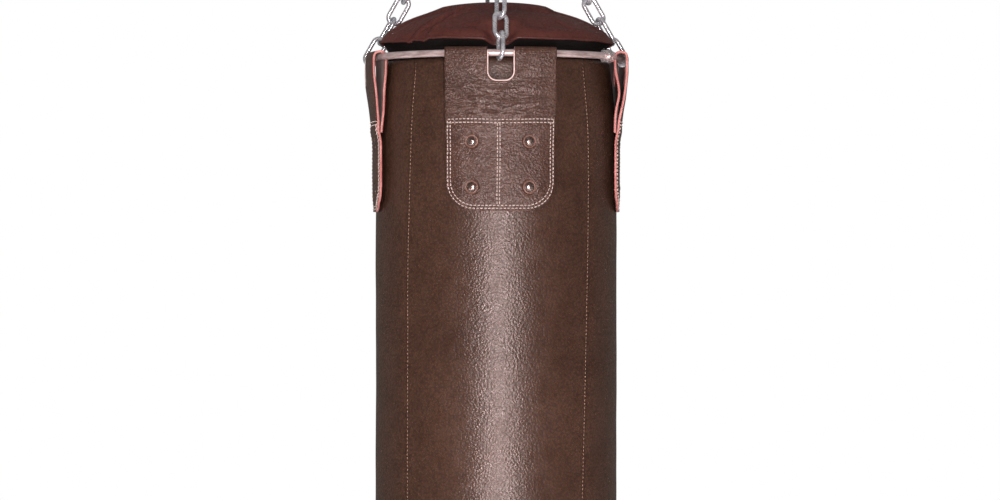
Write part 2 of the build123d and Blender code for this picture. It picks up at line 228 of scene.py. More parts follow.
def fibre(name, base, light, scale, sheen=0.3, rough=0.9):
    """Suede, felt or woven textile."""
    m, tree, bsdf, place = material(name)
    nap = noise_tex(tree, place, scale, 6.0, 0.7)
    tone = noise_tex(tree, place, 45.0, 4.0)
    colour = mix(tree, 0.5, ramp(tree, nap, (0.3, base), (0.7, light)),
                 ramp(tree, tone, (0.3, base), (0.7, light)))
    tree.links.new(colour, bsdf.inputs["Base Color"])
    bsdf.inputs["Roughness"].default_value = rough
    bsdf.inputs["Sheen Weight"].default_value = sheen
    tree.links.new(bump(tree, nap, 0.6, 0.0006), bsdf.inputs["Normal"])
    return m


def weave(name, base, light, pitch, around):
    """Woven tape on a ring of radius around: two crossed sets of threads."""
    m, tree, bsdf, place = material(name)
    parts = node(tree, "ShaderNodeSeparateXYZ", {0: place})
    turn = maths(tree, "ARCTAN2", parts.outputs[1], parts.outputs[0])
    across = maths(tree, "SINE", maths(tree, "MULTIPLY", turn, 2 * pi * around / pitch))
    along = maths(tree, "SINE", maths(tree, "MULTIPLY", parts.outputs[2], 2 * pi / pitch))
    height = maths(tree, "MULTIPLY", across, along)
    tint = ramp(tree, span(tree, height, -1, 1, 0, 1), (0.2, base), (0.8, light))
    tree.links.new(tint, bsdf.inputs["Base Color"])
    bsdf.inputs["Roughness"].default_value = 0.7
    bsdf.inputs["Specular IOR Level"].default_value = 0.12
    tree.links.new(bump(tree, height, 0.6, 0.0003), bsdf.inputs["Normal"])
    return m


BODY = leather("body_leather", (0.034, 0.0155, 0.0092), (0.050, 0.0245, 0.0150), (0.064, 0.033, 0.0215),
               0.30, 300.0, 0.0007, uneven=0.0006)
TAB = leather("tab_leather", (0.036, 0.0150, 0.0098), (0.060, 0.0285, 0.0190), (0.088, 0.045, 0.032),
              0.30, 320.0, 0.0012, wrinkles=0.55, band=(HOOP_Z - 0.088, HOOP_Z - 0.040))
LID = leather("lid_leather", (0.036, 0.0085, 0.0064), (0.060, 0.0165, 0.0125), (0.090, 0.028, 0.022),
              0.50, 260.0, 0.0005, wrinkles=0.18, uneven=0.0016)
# lighter than the tab leather: this colour is a painted highlight on the pressed rings round the rivets
HIGHLIGHT_RING = leather("pressed_ring_highlight_leather", (0.08, 0.036, 0.026), (0.15, 0.080, 0.060), (0.24, 0.140, 0.115),
               0.27, 320.0, 0.0003)
EDGE = fibre("painted_edge", (0.24, 0.045, 0.040), (0.50, 0.24, 0.22), 260.0, 0.1, 0.5)
# much lighter than the red painted edge: the slot's edge paint with a painted highlight in its colour
HIGHLIGHT_BEAD = fibre("slot_edge_paint_highlight", (0.42, 0.29, 0.27), (0.62, 0.50, 0.48), 260.0, 0.1, 0.4)
SUEDE = fibre("suede_back", (0.070, 0.048, 0.041), (0.17, 0.125, 0.112), 800.0, 0.04)
TAB_THREAD = thread("tab_thread", (0.33, 0.26, 0.235), (0.60, 0.52, 0.48))
SEAM_THREAD = thread("seam_thread", (0.20, 0.11, 0.070), (0.36, 0.22, 0.15))
# near-black tape: its own black colour, darkened further as painted shade for the shadow under the lid's hem
SHADED_TAPE = weave("zip_tape", (0.0025, 0.002, 0.0022), (0.008, 0.006, 0.006), 0.0011, 0.1575)
TEETH = metal("zip_teeth", (0.03, 0.03, 0.032), (0.07, 0.07, 0.075), 0.4, 0.3, 60.0)
CHAIN = metal("zinc_chain", (0.42, 0.45, 0.49), (0.70, 0.73, 0.77), 0.26, 0.0, 90.0, plated=0.76)
SWIVEL = metal("zinc_swivel", (0.50, 0.50, 0.52), (0.70, 0.70, 0.72), 0.30, 0.5, 80.0)
HOOP = metal("worn_hoop", (0.28, 0.205, 0.195), (0.62, 0.52, 0.515), 0.33, 0.25, 40.0, (1, 1, 5), plated=0.55)
NUT = metal("zinc_nut", (0.64, 0.63, 0.64), (0.76, 0.75, 0.76), 0.22, 0.0, 40.0, plated=0.85)
RIVET = metal("rivet_metal", (0.26, 0.19, 0.165), (0.50, 0.40, 0.37), 0.24, 0.10, 120.0)
FILL = fibre("textile_filling", (0.30, 0.28, 0.26), (0.50, 0.48, 0.45), 240.0)
FOAM = fibre("foam_sleeve", (0.10, 0.10, 0.11), (0.18, 0.18, 0.19), 420.0)

CAD_LOOKS = {
    "chain_steel": CHAIN, "swivel_steel": SWIVEL, "hoop_steel": HOOP, "nut_steel": NUT,
    "rivet_metal": RIVET, "zip_metal": TEETH,
}
slot_of = {s["node"]: s["material_slot"] for s in frame["record"]["subparts"]}
for name, obj in frame["nodes"].items():
    look = CAD_LOOKS.get(slot_of[name])
    if look:
        for place in obj.material_slots:
            place.material = look
        if not obj.material_slots:
            obj.data.materials.append(look)


# ------------------------------------------------------------------ mesh helpers
def build(name, verts, faces, mats, which=None, closed_shell=False):
    """A smooth mesh piece that rides on the bag; which gives each face's material."""
    mesh = bpy.data.meshes.new(name)
    mesh.from_pydata([tuple(v) for v in verts], [], faces)
    for m in mats:
        mesh.materials.append(m)
    if which:
        for f, k in zip(mesh.polygons, which):
            f.material_index = k
    mesh.shade_smooth()
    mesh.validate()
    if closed_shell:
        solid = bmesh.new()
        solid.from_mesh(mesh)
        bmesh.ops.recalc_face_normals(solid, faces=solid.faces)
        solid.to_mesh(mesh)
        solid.free()
    mesh.update()
    obj = bpy.data.objects.new(name, mesh)
    bpy.context.scene.collection.objects.link(obj)
    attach(obj, "bag")
    return obj


def grid_faces(rows, cols, closed=False):
    """Quads of a grid stored row by row; closed joins the last column to the first."""
    last = cols if closed else cols - 1
    return [
        (r * cols + c, r * cols + (c + 1) % cols, (r + 1) * cols + (c + 1) % cols, (r + 1) * cols + c)
        for r in range(rows - 1) for c in range(last)
    ]


def apply_modifiers(obj):
    """Bakes the piece's modifiers into its mesh."""
    dg = bpy.context.evaluated_depsgraph_get()
    mesh = bpy.data.meshes.new_from_object(obj.evaluated_get(dg))
    obj.modifiers.clear()
    obj.data = mesh


def solidify(obj, thickness, offset, inner=0, rim=0):
    """Gives a sheet its thickness, with material slots for its inner face and rim."""
    s = obj.modifiers.new("thickness", "SOLIDIFY")
    s.thickness = thickness
    s.offset = offset
    s.use_rim = True
    s.material_offset = inner
    s.material_offset_rim = rim
    apply_modifiers(obj)


def tube(name, points, radii, mat, sides, closed=True, facing=None):
    """Round tube along points with a radius for each; facing keeps it from twisting."""
    verts = []
    n = len(points)
    for i, p in enumerate(points):
        a = points[(i - 1) % n] if closed or i else p
        b = points[(i + 1) % n] if closed or i < n - 1 else p
        along = (b - a).normalized()
        up = facing or (Vector((0, 0, 1)) if abs(along.z) < 0.9 else Vector((1, 0, 0)))
        side = along.cross(up).normalized()
        up = side.cross(along)
        for k in range(sides):
            t = 2 * pi * k / sides
            verts.append(p + (side * cos(t) + up * sin(t)) * radii[i])
    faces = grid_faces(n, sides, True)
    if closed:
        base = (n - 1) * sides
        faces += [(base + k, base + (k + 1) % sides, (k + 1) % sides, k) for k in range(sides)]
    else:
        faces += [tuple(range(sides - 1, -1, -1)), tuple((n - 1) * sides + k for k in range(sides))]
    return build(name, verts, faces, [mat], closed_shell=True)


def stitches(name, runs, mat, length, radius):
    """Separate stitches along runs of (point, along, outward); each is a small bent capsule."""
    verts, faces = [], []
    bend = ((-0.5, 0.35, -1.1), (-0.42, 0.9, -0.35), (-0.15, 1.0, 0.15), (0.15, 1.0, 0.15),
            (0.42, 0.9, -0.35), (0.5, 0.35, -1.1))          # place along, width, lift
    for run in runs:
        for p, along, out in run:
            side = along.cross(out).normalized()
            base = len(verts)
            for u, w, lift in bend:
                c = p + along * (u * length) + out * (radius * (lift + 0.45))
                for k in range(6):
                    t = pi * k / 3
                    verts.append(c + (side * cos(t) + out * sin(t)) * (radius * w))
            for r in range(5):
                for k in range(6):
                    faces.append((base + r * 6 + k, base + r * 6 + (k + 1) % 6,
                                  base + (r + 1) * 6 + (k + 1) % 6, base + (r + 1) * 6 + k))
            faces.append(tuple(base + k for k in range(5, -1, -1)))
            faces.append(tuple(base + 30 + k for k in range(6)))
    return build(name, verts, faces, [mat], closed_shell=True)


def run_along(surface, points, pitch):
    """Stitch places at an even pitch along a path of surface parameters."""
    samples = [surface(*p) for p in points]
    result = []
    travelled, goal = 0.0, pitch / 2
    for (a, out), (b, _) in zip(samples, samples[1:]):
        step = (b - a).length
        while step > 1e-9 and goal <= travelled + step:
            t = (goal - travelled) / step
            result.append((a.lerp(b, t), (b - a).normalized(), out))
            goal += pitch
        travelled += step
    return result


def normal_of(f, a, b, da, db):
    """Outward normal of a surface function of two parameters."""
    n = (f(a + da, b) - f(a - da, b)).cross(f(a, b + db) - f(a, b - db))
    return n.normalized()


def at(r, azimuth, h):
    """Point from radius in mm, azimuth in degrees and height above the hoop plane in mm."""
    a = radians(azimuth)
    return Vector((r * MM * cos(a), r * MM * sin(a), HOOP_Z + h * MM))


# ------------------------------------------------------------------ leather body
RB = BAG_R / MM                  # body radius
DEPTH = (HOOP_Z - BOTTOM_Z) / MM
ER = 20.0                        # radius of the turned-in bottom edge
T = 3.0                          # panel leather
THIN = 1.5                       # its pared edges
RIM = -5.5                       # top edge of the panels, from the hoop plane
PER_DEG = RB * pi / 180.0        # length of one degree round the wall


def wall_radius(h):
    """Outside radius of the body at a height; it tapers in under the hoop."""
    x = min(1.0, max(0.0, (h + 150.0) / 141.0))
    return RB - 10.0 * x ** 2.1


def lumps(azimuth, h):
    """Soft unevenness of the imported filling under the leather, in mm."""
    p = at(RB, azimuth, h)
    return 0.75 * wave(p.x, p.y, p.z, 0.16, 1.0) + 0.35 * wave(p.x, p.y, p.z, 0.045, 5.0)


def profile(d, inset=0.0):
    """(radius, height, outward, upward) at a distance down the wall and round its turned-in edge."""
    straight = RIM + DEPTH - ER
    if d <= straight:
        return wall_radius(RIM - d) - inset, RIM - d, 1.0, 0.0
    if d <= straight + ER * pi / 2:
        t = (d - straight) / ER
        return RB - ER + (ER - inset) * cos(t), -DEPTH + ER - (ER - inset) * sin(t), cos(t), -sin(t)
    return RB - ER - (d - straight - ER * pi / 2), -DEPTH + inset, 0.0, -1.0


LENGTH = RIM + DEPTH - ER + ER * pi / 2
SEAMS = {
    "front_left": lambda h: -90.0 - 46.0 - 3.0 * smooth(20.0, 380.0, -h),
    "front_right": lambda h: -90.0 + 46.4 + 0.9 * smooth(20.0, 130.0, -h) - 4.6 * smooth(160.0, 760.0, -h),
    "back_right": lambda h: 42.6 + 1.2 * sin(h / 330.0),
    "back_left": lambda h: 137.4 + 0.9 * sin(h / 260.0 + 1.0),
}
LAP = 8.0


def panel(side, start, end, on_top):
    """One panel as a closed shell. Lapping panels lie over their neighbours' thinned edges."""
    near = [0.0, 0.5, 1.4, 2.6, 4.2, 6.0, 8.0, 10.5, 13.5, 17.5, 22.0]      # columns close to a seam
    degrees_wide, step = (94.0 if on_top else 86.0), 4.4
    middle = int(round((degrees_wide * PER_DEG - 2 * near[-1]) / step))
    cols = 2 * len(near) + middle - 1
    rows = [LENGTH * i / 250.0 for i in range(251)]
    outer, inner = [], []
    tuck = 0.0 if on_top else LAP / PER_DEG
    for d in rows:
        r, h, c, s = profile(d)
        a0, a1 = start(h) - tuck, end(h) + tuck
        width = (a1 - a0) * PER_DEG
        places = near + [near[-1] + (width - 2 * near[-1]) * k / middle for k in range(1, middle)]
        places += [width - x for x in near[::-1]]
        for x in places:
            edge = min(x, width - x)
            azimuth = a0 + x / PER_DEG
            lift = lumps(azimuth, h) * smooth(0.0, 12.0, LENGTH - d)
            if on_top:
                lift += -0.45 * (1 - smooth(0.0, 1.6, edge)) + 0.5 * (1 - smooth(6.0, 16.0, edge))
                lift -= 0.35 * exp(-((edge - 3.2) / 1.1) ** 2)
            else:
                lift -= 1.7 * (1 - smooth(LAP + 1.0, LAP + 13.0, edge))
            lift -= 1.2 * (1 - smooth(0.0, 5.0, d))
            lift += 0.6 * exp(-((d - 9.0) / 5.0) ** 2)
            thick = T if edge > 14.0 else THIN
            ri, hi = profile(d, thick)[:2]
            outer.append(at(r + lift * c, azimuth, h + lift * s))
            inner.append(at(ri + lift * c, azimuth, hi + lift * s))
    n = len(rows)
    faces = [f[::-1] for f in grid_faces(n, cols)]
    base = n * cols
    faces += [tuple(base + k for k in f[::-1]) for f in faces]
    which = [0] * (len(faces) // 2) + [1] * (len(faces) // 2)
    for c in range(cols - 1):
        faces.append((c, c + 1, base + c + 1, base + c))
        q = (n - 1) * cols + c
        faces.append((q + 1, q, base + q, base + q + 1))
        which += [0, 0]
    for r in range(n - 1):
        q = r * cols
        faces.append((q + cols, q, base + q, base + q + cols))
        q = r * cols + cols - 1
        faces.append((q, q + cols, base + q + cols, base + q))
        which += [0, 0]
    obj = build(f"leather_panel_{side}", outer + inner, faces, [BODY, SUEDE], which=which,
                closed_shell=True)
    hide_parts(f"panel_{side}")
    return obj


panel("front", SEAMS["front_left"], SEAMS["front_right"], True)
panel("right", SEAMS["front_right"], SEAMS["back_right"], False)
panel("back", SEAMS["back_right"], SEAMS["back_left"], True)
panel("left", SEAMS["back_left"], lambda h: SEAMS["front_left"](h) + 360.0, False)


def wall_stitch(azimuth, d):
    """Place on the body's outside and its outward direction, for a stitch."""
    r, h, c, s = profile(d)
    a = radians(azimuth)
    lift = lumps(azimuth, h) * smooth(0.0, 12.0, LENGTH - d) + 0.1
    return at(r + lift * c, azimuth, h + lift * s), Vector((cos(a) * c, sin(a) * c, s))


def make_seams():
    """One row of stitches down each panel seam, just inside the lapping panel's edge."""
    runs = []
    for key, inward in (("front_left", 1), ("front_right", -1), ("back_right", 1), ("back_left", -1)):
        off = inward * 3.2 / PER_DEG
        places = [4.0 + 4.0 * i for i in range(int((LENGTH - 8.0) / 4.0))]
        path = [(SEAMS[key](profile(d)[1]) + off, d) for d in places]
        runs.append(run_along(wall_stitch, path, STITCH_PITCH))
    stitches("seam_stitches", runs, SEAM_THREAD, 3.5 * MM, 0.42 * MM)


def make_bottom():
    """Sewn bottom: a slightly crowned disc under the turned-in edge, with its stitch ring."""
    verts, rings, turns = [], 34, 144
    for i in range(rings):
        r = (RB - ER - 0.5) * i / (rings - 1)
        for k in range(turns):
            azimuth = 360.0 * k / turns
            a = radians(azimuth)
            sag = 1.4 * (1 - (r / (RB - ER)) ** 2) + 0.5 * wave(r * cos(a) * MM, r * sin(a) * MM, 0, 0.08)
            verts.append(at(r, azimuth, -DEPTH - min(1.9, sag) * smooth(0, 12, RB - ER - r)))
    obj = build("leather_bottom", verts, grid_faces(rings, turns, True), [BODY, SUEDE])
    solidify(obj, SKIN, -1.0, 1)
    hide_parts("bottom_disc")
    ring = run_along(wall_stitch, [(2.0 * k, LENGTH - 4.0) for k in range(181)], STITCH_PITCH)
    stitches("bottom_stitches", [ring], SEAM_THREAD, 3.5 * MM, 0.45 * MM)


make_seams()
make_bottom()


# ------------------------------------------------------------------ inside: padding and filling
def turned(name, outline, mat, replaced, size):
    """Closed soft body of revolution with an uneven surface."""
    verts, n = [], 96
    for r, z in outline:
        for k in range(n):
            a = 2 * pi * k / n
            rr = max(0.0005, r + 0.0012 * wave(r * cos(a), r * sin(a), z, size) - 0.0012)
            verts.append(Vector((rr * cos(a), rr * sin(a), z)))
    rows = len(outline)
    faces = grid_faces(rows, n, True)
    faces += [tuple(reversed(range(n))), tuple((rows - 1) * n + k for k in range(n))]
    obj = build(name, verts, faces, [mat], closed_shell=True)
    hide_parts(replaced)
    return obj


def make_filling():
    """Packed textile: a straight column under a rounded crown."""
    low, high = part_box("filling")
    crown = [(0.1475 * cos(t), high.z - 0.088 + 0.086 * sin(t)) for t in [pi / 2 * k / 14 for k in range(14)]]
    straight = [(0.1485, low.z + 0.004 + (high.z - 0.094 - low.z) * k / 60.0) for k in range(61)]
    turned("packed_filling", [(0.144, low.z + 0.001)] + straight + crown + [(0.004, high.z - 0.002)],
           FILL, "filling", 0.03)


def make_sleeve():
    """Foam between the leather and the filling."""
    low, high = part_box("padding_sleeve")
    verts, rows, turns = [], 80, 96
    for i in range(rows):
        z = high.z - 0.001 - (high.z - low.z - 0.002) * i / (rows - 1)
        for k in range(turns):
            a = 2 * pi * k / turns
            r = wall_radius((z - HOOP_Z) / MM) * MM - 0.0055 + 0.0006 * wave(cos(a), sin(a), z * 4, 0.3)
            verts.append(Vector((r * cos(a), r * sin(a), z)))
    obj = build("foam_sleeve", verts, [f[::-1] for f in grid_faces(rows, turns, True)], [FOAM])
    solidify(obj, 0.013, -1.0)
    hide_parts("padding_sleeve")


make_filling()
make_sleeve()

# ------------------------------------------------------------------ chains' lines, for the lid's dents
FOOT = 12.35 * MM                # how far a chain's foot lies below its first link's middle
CHAINS = []                      # foot, direction up the chain, into the bag, and sideways
for side, azimuth in AZ.items():
    corners = [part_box(f"chain_{side}_link_{n}") for n in (1, 5)]
    first, fifth = [(a + b) / 2 for a, b in corners]
    up = (fifth - first).normalized()
    a = radians(azimuth)
    tangent = Vector((-sin(a), cos(a), 0))
    inward = up.cross(tangent).normalized()
    if inward.dot(Vector((cos(a), sin(a), 0))) > 0:
        inward = -inward
    CHAINS.append((first - up * FOOT, up, inward, tangent))


# ------------------------------------------------------------------ lid
LID_R = 170.0
HEM_H = 23.0                     # height of the hem above the hoop plane
# each crease: azimuth at the hem, radius where it starts, depth, width, lean
CREASES = ((-138.5, 84.0, 9.0, 4.2, 0.02), (-129.0, 76.0, 8.0, 3.8, 0.03), (-152.0, 105.0, 2.0, 2.8, -0.08),
           (-47.0, 112.0, 1.3, 2.6, -0.14), (-66.0, 128.0, 0.9, 2.0, 0.10), (-24.0, 110.0, 1.0, 2.2, 0.12),
           (22.0, 104.0, 1.3, 2.4, 0.10), (60.0, 92.0, 1.2, 2.6, -0.10), (112.0, 100.0, 1.4, 2.4, 0.12),
           (152.0, 96.0, 1.2, 2.4, -0.12))


def lid_point(azimuth, q, creased=True):
    """Lid surface; q runs from 0 at the crown to 1 at the hem, then on round the turned edge."""
    if q <= 1.0:
        r = LID_R * q
        h = HEM_H + (LID_TOP - HEM_H) * (max(0.0, 1 - q ** 2.3)) ** 0.72
    else:
        t = (q - 1.0) / 0.06 * pi / 2
        r = LID_R + 0.4 - 4.5 * (1 - cos(t)) + 0.4 * sin(t)
        h = HEM_H - 2.2 * sin(t)
    p = at(r, azimuth, h)
    wide = smooth(0.25, 0.95, q)
    a = radians(azimuth)
    h += 1.5 * wave(p.x, p.y, 0.0, 0.085, 2.0) * wide
    h += 1.1 * wave(p.x, p.y, p.z, 0.034, 4.0) * smooth(0.6, 1.0, q)
    h += 1.6 * wave(cos(a), sin(a), 0.0, 0.42, 9.0) * smooth(0.8, 1.0, q)
    for where, reach, depth, width, lean in CREASES if creased else ():
        off = (azimuth - where + 180.0) % 360.0 - 180.0 - lean * (LID_R - r)
        gap = off * pi / 180.0 * r
        if abs(gap) < 14.0 and r > reach:
            fade = smooth(reach, reach + 30.0, r) * (1 - 0.75 * smooth(0.90, 0.99, q))
            ridge = 0.5 * exp(-((gap - 2.4 * width) / width) ** 2)
            h -= depth * fade * (exp(-(gap / width) ** 2) - ridge)
    return clear_of_chains(at(r, azimuth, h))


def clear_of_chains(p):
    """Moves a point of soft leather or tape inward where a chain's lowest links lie on it."""
    for foot, up, inward, tangent in CHAINS:
        rel = p - foot
        # along the chain, from it into the bag, and sideways
        s, w, t = rel.dot(up) / MM, rel.dot(inward) / MM, abs(rel.dot(tangent)) / MM
        if t > 40.0 or s < -25.0 or s > 95.0:
            continue
        need = 14.3 - 6.4 * smooth(30.0, 44.0, s)          # less beside a link that lies flat
        reach = (1 - smooth(7.5, 26.0, t)) if s < 36.0 else (1 - smooth(13.5, 30.0, t))
        push = max(0.0, need - w) * reach * (1 - smooth(66.0, 80.0, s))
        p += inward * (push * MM)
    return p


def make_lid():
    """Domed lid: shaped shell, then a short cloth run that lets the leather buckle between its held
    places."""
    rings, turns = 64, 400
    qs = [0.02 + 0.98 * (i / (rings - 1)) ** 0.92 for i in range(rings)] + [1.015, 1.03, 1.045, 1.06]
    places = [(360.0 * k / turns, q) for q in qs for k in range(turns)]
    verts = [lid_point(azimuth, q, False) for azimuth, q in places]
    creases = [lid_point(azimuth, q) - v for (azimuth, q), v in zip(places, verts)]
    lowered = 3.2 * MM          # the crown starts lower, because the pressure lifts it
    sunk = [lowered * (1 - min(1.0, q) ** 2) for q in qs for k in range(turns)]
    verts = [v - Vector((0, 0, drop)) for v, drop in zip(verts, sunk)]
    faces = grid_faces(len(qs), turns, True)
    faces = [f[::-1] for f in faces] + [tuple(range(turns))]
    obj = build("leather_lid", verts, faces, [LID, SUEDE])
    fixed = obj.vertex_groups.new(name="fixed")
    for i, v in enumerate(verts):
        hold = smooth(0.93, 0.99, qs[i // turns])
        for foot, up, inward, tangent in CHAINS:
            rel = v - foot
            if -0.03 < rel.dot(up) < 0.085:
                hold = max(hold, 1 - smooth(0.016, 0.034, abs(rel.dot(tangent))))
        fixed.add([i], hold, "REPLACE")
    cloth = obj.modifiers.new("cloth", "CLOTH")
    c = cloth.settings
    c.quality = 6
    c.mass = 0.4
    c.tension_stiffness = 40
    c.compression_stiffness = 40
    c.shear_stiffness = 20
    c.bending_stiffness = 1.2
    c.vertex_group_mass = "fixed"
    c.pin_stiffness = 20.0
    c.use_pressure = True
    c.uniform_pressure_force = 0.5
    c.shrink_min = -0.028
    c.shrink_max = -0.028
    c.effector_weights.gravity = 0.0
    cloth.collision_settings.use_self_collision = False
    scene = bpy.context.scene
    last = 18
    cloth.point_cache.frame_start, cloth.point_cache.frame_end = 1, last
    for f in range(1, last + 1):
        scene.frame_set(f)
    apply_modifiers(obj)
    scene.frame_set(1)
    farthest = 4.0 * MM
    for v, rest in zip(obj.data.vertices, verts):
        move = v.co - rest
        if move.length > farthest:
            v.co = rest + move.normalized() * farthest
    relax = obj.modifiers.new("relax", "SMOOTH")
    relax.factor, relax.iterations = 0.5, 2
    apply_modifiers(obj)
    for v, crease in zip(obj.data.vertices, creases):
        v.co += crease
    obj.data.update()
    solidify(obj, SKIN, -1.0, 1)
    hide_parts("lid")


def make_hem():
    """Rolled edge of the lid."""
    line = [lid_point(float(k), 1.0) for k in range(360)]
    line = [p + Vector((p.x, p.y, 0)).normalized() * (0.4 * MM) + Vector((0, 0, -0.8 * MM)) for p in line]
    radii = [(2.0 + 0.4 * wave(p.x, p.y, p.z, 0.03, 3.0)) * MM for p in line]
    tube("lid_hem", line, radii, LID, 14)


make_lid()
make_hem()

# ------------------------------------------------------------------ zip band under the hem
def make_zip_band():
    """Zip tape from the hoop up to the hem, flaring under it, and its two rows of teeth."""
    low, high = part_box("zip_band")
    band_r = high.x
    top = HOOP_Z + (HEM_H + 0.6) * MM          # tucked under the hem
    verts, rows, turns = [], 20, 180
    for i in range(rows):
        z = top - (top - low.z) * i / (rows - 1)
        flare = 9.5 * MM * smooth(8.0, HEM_H, (z - HOOP_Z) / MM)
        for k in range(turns):
            a = 2 * pi * k / turns
            r = band_r - 0.0006 + flare + 0.0009 * wave(cos(a), sin(a), z * 10, 0.25)
            verts.append(clear_of_chains(Vector((r * cos(a), r * sin(a), z))))
    # the tape's near-black colour is partly painted shade under the hem
    obj = build("zip_tape_band", verts, [f[::-1] for f in grid_faces(rows, turns, True)], [SHADED_TAPE])
    solidify(obj, 1.2 * MM, -1.0)
    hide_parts("zip_band")
    r, steps = band_r + 0.0002, 760
    for n, h in enumerate((0.2, 2.8)):
        turn = [2 * pi * k / steps for k in range(steps)]
        line = [Vector((r * cos(a), r * sin(a), HOOP_Z + h * MM)) for a in turn]
        radii = [(1.25 if (k + n) % 2 else 0.75) * MM for k in range(steps)]
        tube(f"zip_teeth_{n + 1}", line, radii, TEETH, 6)


make_zip_band()

# ------------------------------------------------------------------ tabs
ARM = 178.0                      # radius at which a tab's width is measured
HALF = ARM * radians(25.4)
FOLD = 7.3                       # radius of the fold over the hoop
CORNER = 42.0                    # radius of the bottom corners
SLOT_HALF = 19.0                 # half width of the chain slot
SLOT_ROUND = 13.0                # radius of its corners
SLOT_FLAT = SLOT_HALF - SLOT_ROUND
SLOT_H = -40.0                   # where it ends on both leaves
PATCH_H = -91.0                  # top of the sewn patch on the outer leaf
QUARTER = pi / 2
# radius and height of the leaves' middle surface, from the bottom up and down again
OUTER = [(177.4, -222), (177.4, -190), (177.4, -150), (177.6, -126), (178.7, -115), (180.9, -105),
         (181.3, -92), (184.8, -64), (188.7, -30), (189.4, -6)]
INNER = [(174.6, -6), (174.5, -40), (174.9, -67), (175.9, -90), (176.5, -109)]
ARC = [(182 + FOLD * cos(t), FOLD * sin(t)) for t in [pi * k / 6 for k in range(1, 6)]]


def dense(points, step=1.0):
    """Even samples of a smooth curve through points: (length, r, h)."""
    pts = [points[0]] + points + [points[-1]]
    raw = []
    for a, b, c, d in zip(pts, pts[1:], pts[2:], pts[3:]):
        for i in range(24):
            t = i / 24.0
            raw.append(tuple(
                0.5 * (2 * q + (r - p) * t + (2 * p - 5 * q + 4 * r - s) * t * t
                       + (3 * q - p - 3 * r + s) * t ** 3)
                for p, q, r, s in zip(a, b, c, d)))
    raw.append(points[-1])
    out, travelled = [(0.0, *raw[0])], 0.0
    for a, b in zip(raw, raw[1:]):
        travelled += hypot(b[0] - a[0], b[1] - a[1])
        if travelled - out[-1][0] >= step:
            out.append((travelled, *b))
    if out[-1][1:] != raw[-1]:
        out.append((travelled, *raw[-1]))
    return out


PATH = dense(OUTER + ARC + INNER)
LENGTHS = [q[0] for q in PATH]
TOTAL = PATH[-1][0]
TOP_S = max(PATH, key=lambda q: q[2])[0]


def strap_path(s):
    """(r, h) on the strap's middle surface at a length from the bottom of the outer leaf."""
    if s <= 0:
        return PATH[0][1], PATH[0][2] + s
    hi = min(bisect_right(LENGTHS, s), len(PATH) - 1)
    a, b = PATH[hi - 1], PATH[hi]
    t = min(1.0, (s - a[0]) / (b[0] - a[0]))
    return a[1] + (b[1] - a[1]) * t, a[2] + (b[2] - a[2]) * t


def length_at(h, outer=True):
    """Length along the strap where a leaf reaches a height."""
    leaf = [q for q in PATH if (q[0] < TOP_S) == outer]
    return min(leaf, key=lambda q: abs(q[2] - h))[0]


SLOT_LOW, SLOT_HIGH = length_at(SLOT_H), length_at(SLOT_H, False)
# flatness of the outer and inner leaf near the hoop, of both below, and of the inner leaf's middle;
# then the waves' seed
TAB_SHAPES = {"front": (0.30, 0.22, 0.14, 0.0, 1.0), "right": (0.72, 0.58, 0.48, 0.34, 2.0),
              "back": (0.35, 0.25, 0.20, 0.0, 3.0), "left": (0.28, 0.14, 0.44, 0.20, 4.0)}
RIVETS = [(x, h) for x in (-41.0, 41.0) for h in (-124.5, -188.0)]


def tab_point(side, u, s):
    """Middle surface of a tab at u across and s along the strap, both in mm."""
    flat_out, flat_in, flat_low, flat_mid, seed = TAB_SHAPES[side]
    r, h = strap_path(s)
    off = u / max(ARM, r)
    outer = 1 - smooth(TOP_S - 10.0, TOP_S + 10.0, s)
    above = smooth(-110.0, -52.0, h)
    flat = (flat_out * outer + flat_in * (1 - outer)) * above + flat_low * (1 - above)
    flat += flat_mid * (1 - outer) * exp(-((h + 50.0) / 24.0) ** 2)
    riveted = 1 - smooth(-126.0, -100.0, h)
    flat *= 1 - riveted * (1 - smooth(26.0, 60.0, abs(u)))
    r += flat * r * (1 / cos(off) - 1)
    lift = 0.5 * wave(u * MM, s * MM, 0.0, 0.045, seed)
    loose = smooth(-95.0, -60.0, h) * (smooth(8.0, 40.0, TOP_S - s) if s < TOP_S else 1.0)
    lift += wave(u * MM, s * MM, 0.3, 0.035, seed + 3) * loose
    if s < TOP_S and h < PATCH_H + 1.0:
        edge = min(HALF - abs(u), s, PATCH_H - h)
        lift += 0.8 * smooth(9.0, 24.0, edge)
        if edge > 0:
            lift -= 0.45 * exp(-((edge - 5.7) / 3.2) ** 2)
        lift -= 0.55 * exp(-((u + 3.0) / 4.0) ** 2)
        for x, z in RIVETS:
            d = hypot(u - x, h - z)
            if d < 22.0:
                lift = lift * smooth(5.0, 15.0, d) - 1.5 * exp(-((d - 7.8) / 2.2) ** 2)
                lift += 0.7 * exp(-((d - 11.8) / 1.9) ** 2)
    if s < TOP_S and h < -118.0:
        lift += max(0.0, wall_radius(h) + 2.35 + lumps(AZ[side] + degrees(off), h) - r)
    sign = 1.0 if s < TOP_S else -1.0
    return at(r + lift * sign * (1 - exp(-((s - TOP_S) / 9.0) ** 2)), AZ[side] + degrees(off), h)


def tab_face(side, u, s, out=2.0):
    """Outer face of a tab and its outward direction."""
    n = normal_of(lambda a, b: tab_point(side, a, b), u, s, 1.0, 1.0)
    return tab_point(side, u, s) + n * (out * MM), n


def axis_places(low, high, step, fixed):
    """Even places from low to high that also pass through the fixed ones."""
    stops = sorted({low, high, *fixed})
    places = []
    for a, b in zip(stops, stops[1:]):
        n = max(1, int(round((b - a) / step)))
        places += [a + (b - a) * i / n for i in range(n)]
    return places + [high]


